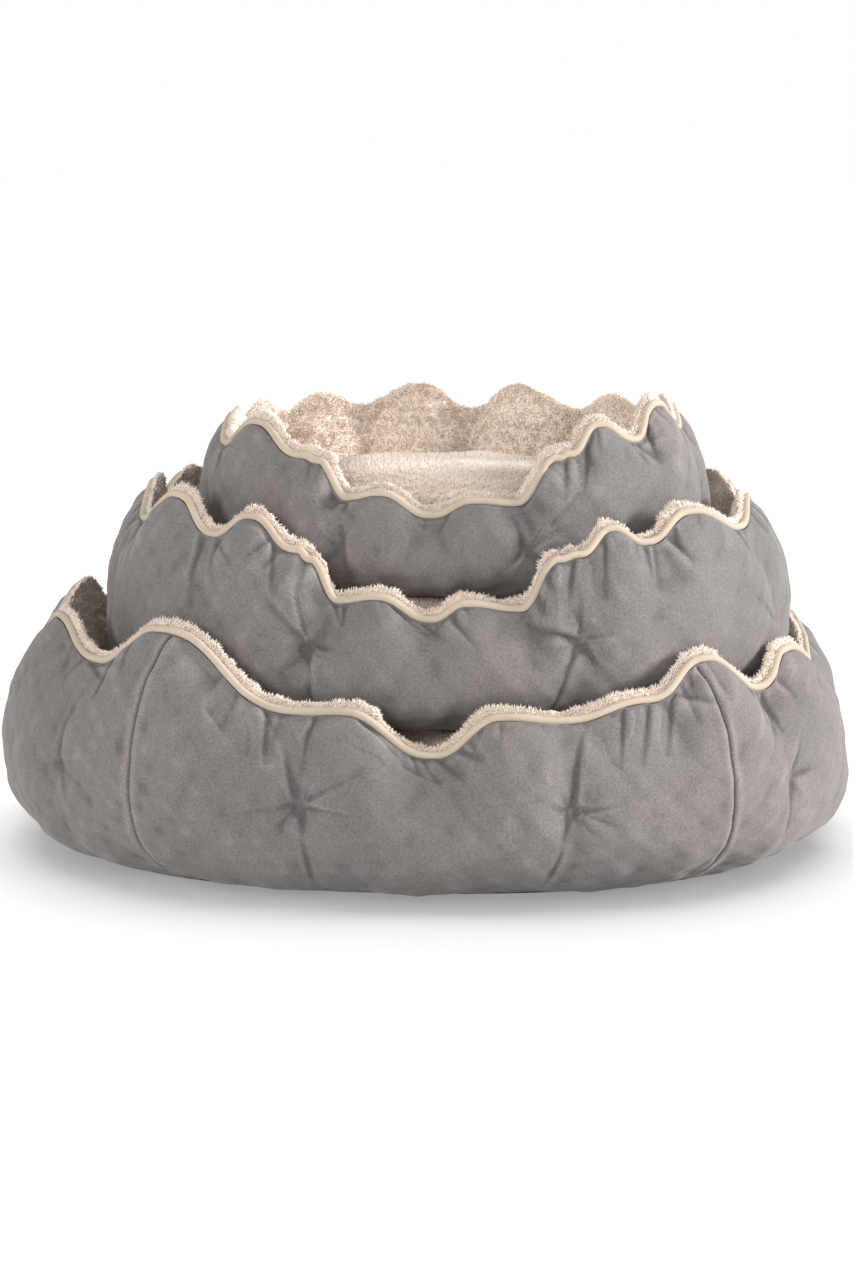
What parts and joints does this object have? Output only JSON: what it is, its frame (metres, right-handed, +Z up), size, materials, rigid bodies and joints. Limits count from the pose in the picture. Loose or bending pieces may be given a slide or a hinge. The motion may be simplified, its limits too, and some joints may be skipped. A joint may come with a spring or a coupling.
{
  "type": "nested pet cushion bed set",
  "caption": "Oval pet beds nested inside one another, each with a stuffed scalloped wall, a low front, tied dimples, piping on the rim and a loose plush cushion.",
  "frame": {"origin": "on the ground, in the middle of the large bed's outline", "axes": "+X to the right along the longer way of the beds, +Y to the back, -Y to the low front, +Z up"},
  "size_m": [0.8368, 0.6833, 0.442],
  "materials": {
    "velvet": "matte",
    "plush": "matte",
    "piping_fabric": "matte",
    "piping_cord": "matte",
    "wall_wadding": "matte",
    "base_wadding": "matte",
    "cushion_wadding": "matte",
    "tie_thread": "matte",
    "base_cloth": "matte"
  },
  "bodies": {
    "large_bed": {"large_front_panel": "velvet", "large_right_panel": "velvet", "large_back_panel": "velvet", "large_left_panel": "velvet", "large_front_lining": "plush", "large_right_lining": "plush", "large_back_lining": "plush", "large_left_lining": "plush", "large_piping": "piping_fabric", "large_piping_cord": "piping_cord", "large_wall_filling": "wall_wadding", "large_tuft_ties": "tie_thread", "large_base_cloth": "base_cloth", "large_base_pad": "base_wadding", "large_floor_cloth": "plush"},
    "large_cushion": {"large_cushion_top": "plush", "large_cushion_underside": "velvet", "large_cushion_filling": "cushion_wadding"},
    "medium_bed": {"medium_front_panel": "velvet", "medium_back_panel": "velvet", "medium_front_lining": "plush", "medium_back_lining": "plush", "medium_piping": "piping_fabric", "medium_piping_cord": "piping_cord", "medium_wall_filling": "wall_wadding", "medium_tuft_ties": "tie_thread", "medium_base_cloth": "base_cloth", "medium_base_pad": "base_wadding", "medium_floor_cloth": "plush"},
    "medium_cushion": {"medium_cushion_top": "plush", "medium_cushion_underside": "velvet", "medium_cushion_filling": "cushion_wadding"},
    "small_bed": {"small_front_panel": "velvet", "small_back_panel": "velvet", "small_front_lining": "plush", "small_back_lining": "plush", "small_piping": "piping_fabric", "small_piping_cord": "piping_cord", "small_wall_filling": "wall_wadding", "small_tuft_ties": "tie_thread", "small_base_cloth": "base_cloth", "small_base_pad": "base_wadding", "small_floor_cloth": "plush"},
    "small_cushion": {"small_cushion_top": "plush", "small_cushion_underside": "velvet", "small_cushion_filling": "cushion_wadding"}
  },
  "joints": [
    {"name": "large_cushion_lift", "type": "slide", "parent": "large_bed", "child": "large_cushion", "axis": [0, 0, 1], "range_m": [0, 0.26]},
    {"name": "medium_bed_lift", "type": "slide", "parent": "large_cushion", "child": "medium_bed", "axis": [0, 0, 1], "range_m": [0, 0.25]},
    {"name": "medium_cushion_lift", "type": "slide", "parent": "medium_bed", "child": "medium_cushion", "axis": [0, 0, 1], "range_m": [0, 0.22]},
    {"name": "small_bed_lift", "type": "slide", "parent": "medium_cushion", "child": "small_bed", "axis": [0, 0, 1], "range_m": [0, 0.22]},
    {"name": "small_cushion_lift", "type": "slide", "parent": "small_bed", "child": "small_cushion", "axis": [0, 0, 1], "range_m": [0, 0.2]}
  ]
}
